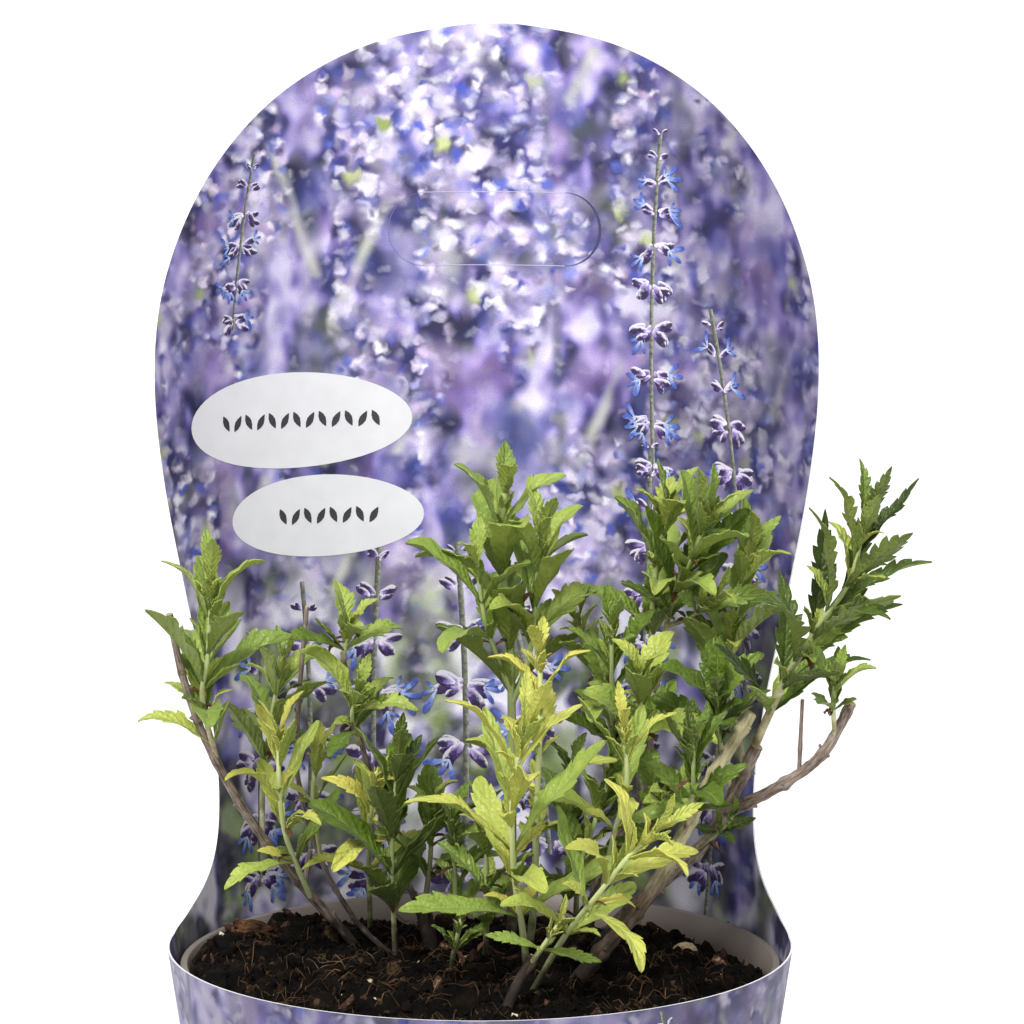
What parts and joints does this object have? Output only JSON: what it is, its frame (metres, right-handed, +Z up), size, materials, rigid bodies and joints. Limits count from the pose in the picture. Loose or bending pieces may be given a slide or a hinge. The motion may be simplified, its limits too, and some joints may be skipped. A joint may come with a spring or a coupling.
{
  "type": "potted russian sage",
  "caption": "Woody sage bush with toothed leaves in a tapered nursery pot, wrapped by a printed card sleeve with a tall rounded back card.",
  "frame": {"origin": "centre of the pot's flat base, where it stands", "axes": "+Z up along the pot's axis, -Y towards the open front of the sleeve, +Y towards the tall back card"},
  "size_m": [0.2409, 0.2402, 0.4323],
  "materials": {
    "pot_plastic": "taupe, satin injection-moulded plastic",
    "sleeve_card": "coated card, printed with a blurred lilac flower field on both faces",
    "peat": "moist dark peat with fibres and bark",
    "pebble": "pale rough pebble",
    "bark_mulch": "fibrous brown bark lump",
    "bark_grey": "grey-brown bark of older branches",
    "bark_dark": "dark damp bark near the crown",
    "bark_pale": "pale striped bark",
    "leaf_yellow": "soft yellow-green young leaves",
    "leaf_green": "matt mid-green leaves",
    "leaf_dark": "dark green shaded leaves"
  },
  "bodies": {
    "root": {"pot": "pot_plastic", "sleeve": "sleeve_card", "soil": "peat", "stone_pale": "pebble", "bark_chunk": "bark_mulch", "wood_left": "bark_grey", "wood_thin": "bark_grey", "wood_middle": "bark_grey", "wood_back": "bark_grey", "wood_right": "bark_grey", "wood_stump": "bark_dark", "wood_front": "bark_dark", "wood_low": "bark_dark", "wood_right_pale": "bark_pale", "shoot_main": "leaf_yellow", "shoot_front_yellow": "leaf_yellow", "shoot_centre_tall": "leaf_yellow", "shoot_left_bright": "leaf_yellow", "shoot_low_right": "leaf_yellow", "shoot_left_inner": "leaf_yellow", "shoot_front_base": "leaf_yellow", "shoot_thin_twig": "leaf_yellow", "shoot_right_tall": "leaf_green", "shoot_left_tall": "leaf_green", "shoot_top_middle": "leaf_green", "shoot_back_left": "leaf_green", "shoot_back_right": "leaf_green", "shoot_back_far": "leaf_green", "shoot_right_twig": "leaf_green", "shoot_inner_right": "leaf_green", "shoot_inner_back": "leaf_green", "shoot_left_back": "leaf_green", "shoot_middle_top": "leaf_green", "shoot_middle_side": "leaf_green", "shoot_stump": "leaf_green", "shoot_slope": "leaf_green", "shoot_front_low": "leaf_green", "shoot_small_base": "leaf_green", "shoot_centre_low": "leaf_green", "shoot_dark_right": "leaf_dark", "shoot_left_dark": "leaf_dark", "shoot_dark_top": "leaf_dark", "shoot_stem_left": "leaf_dark", "shoot_stem_right": "leaf_dark", "shoot_branch_node": "leaf_dark"}
  },
  "joints": []
}
